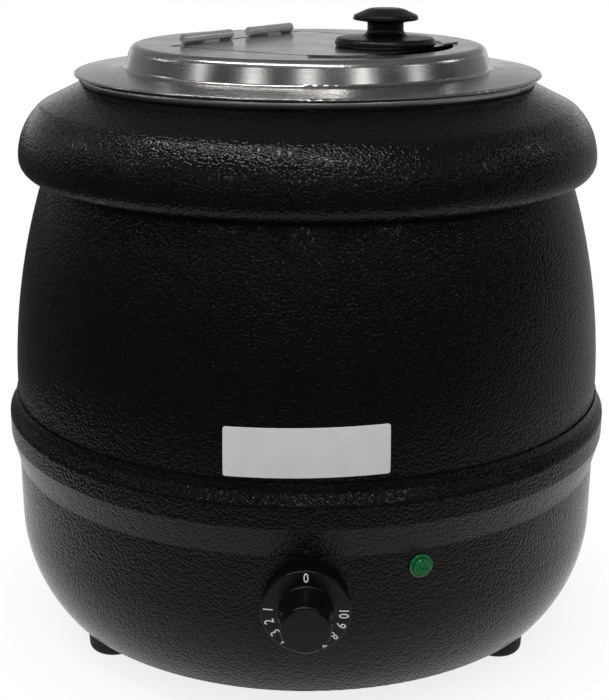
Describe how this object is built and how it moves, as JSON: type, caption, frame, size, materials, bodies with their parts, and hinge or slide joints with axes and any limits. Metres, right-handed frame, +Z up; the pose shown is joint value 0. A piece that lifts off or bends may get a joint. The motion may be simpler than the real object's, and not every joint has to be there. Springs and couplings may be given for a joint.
{
  "type": "soup kettle",
  "caption": "Electric wet-heat soup kettle: round painted body on feet, lift-out steel pot, lid with hinged flap and ladle notch, numbered heat dial and indicator lamp.",
  "frame": {"origin": "on the kettle's axis at the surface it stands on", "axes": "+Z up, dial towards -Y, cord entry towards +Y"},
  "size_m": [0.3398, 0.3838, 0.3453],
  "materials": {
    "hammertone": "black hammertone powder coat",
    "polished_steel": "polished stainless steel",
    "satin_steel": "satin stainless steel",
    "well_metal": "spun aluminium",
    "black_plastic": "satin black phenolic",
    "black_rubber": "moulded rubber",
    "green_lens": "translucent green lens",
    "zinc_steel": "zinc plated steel",
    "element_metal": "oxidised heating element sheath",
    "white_insulator": "off-white insulator",
    "copper_alloy": "brass",
    "wire_cover": "silicone wire insulation"
  },
  "bodies": {
    "kettle": {"base_bowl": "hammertone", "outer_jacket": "hammertone", "top_collar": "hammertone", "water_well": "well_metal", "thermostat_body": "white_insulator", "thermostat_screws": "zinc_steel", "thermostat_bulb": "copper_alloy", "bulb_clips": "zinc_steel", "heating_element": "element_metal", "element_clamp": "zinc_steel", "clamp_stud": "zinc_steel", "clamp_nuts": "zinc_steel", "heat_shield": "zinc_steel", "thermal_cutout": "white_insulator", "cutout_strap": "zinc_steel", "lamp_lens": "green_lens", "lamp_body": "white_insulator", "lamp_clip": "zinc_steel", "base_plate": "zinc_steel", "base_plate_screws": "zinc_steel", "foot_screws": "zinc_steel", "foot_nuts": "zinc_steel", "gland_body": "black_plastic", "gland_cap": "black_plastic", "gland_seal": "black_rubber", "gland_locknut": "black_plastic", "terminal_block": "white_insulator", "terminal_clamps": "copper_alloy", "terminal_screws": "zinc_steel", "earth_stud": "copper_alloy", "internal_wiring": "wire_cover", "foot_front_left": "black_rubber", "foot_front_right": "black_rubber", "foot_rear_left": "black_rubber", "foot_rear_right": "black_rubber"},
    "dial": {"dial_knob": "black_plastic", "thermostat_shaft": "copper_alloy"},
    "pot": {"soup_pot": "satin_steel"},
    "lid": {"lid_shell": "polished_steel", "hinge_fixed_leaves": "satin_steel", "hinge_pins": "zinc_steel"},
    "flap": {"lid_flap": "polished_steel", "hinge_flap_leaves": "satin_steel", "lid_knob": "black_plastic", "knob_washer": "zinc_steel", "knob_screw": "zinc_steel"}
  },
  "joints": [
    {"name": "dial_turn", "type": "hinge", "parent": "kettle", "child": "dial", "pos_m": [0, -0.1659, 0.074], "axis": [0, 1, 0], "range_deg": [0, 270]},
    {"name": "pot_lift", "type": "slide", "parent": "kettle", "child": "pot", "axis": [0, 0, 1], "range_m": [0, 0.24]},
    {"name": "lid_lift", "type": "slide", "parent": "pot", "child": "lid", "axis": [0, 0, 1], "range_m": [0, 0.12]},
    {"name": "flap_swing", "type": "hinge", "parent": "lid", "child": "flap", "pos_m": [-0.03841, 0.0262, 0.32844], "axis": [-0.5635, -0.8261, 0], "range_deg": [0, 160]}
  ]
}
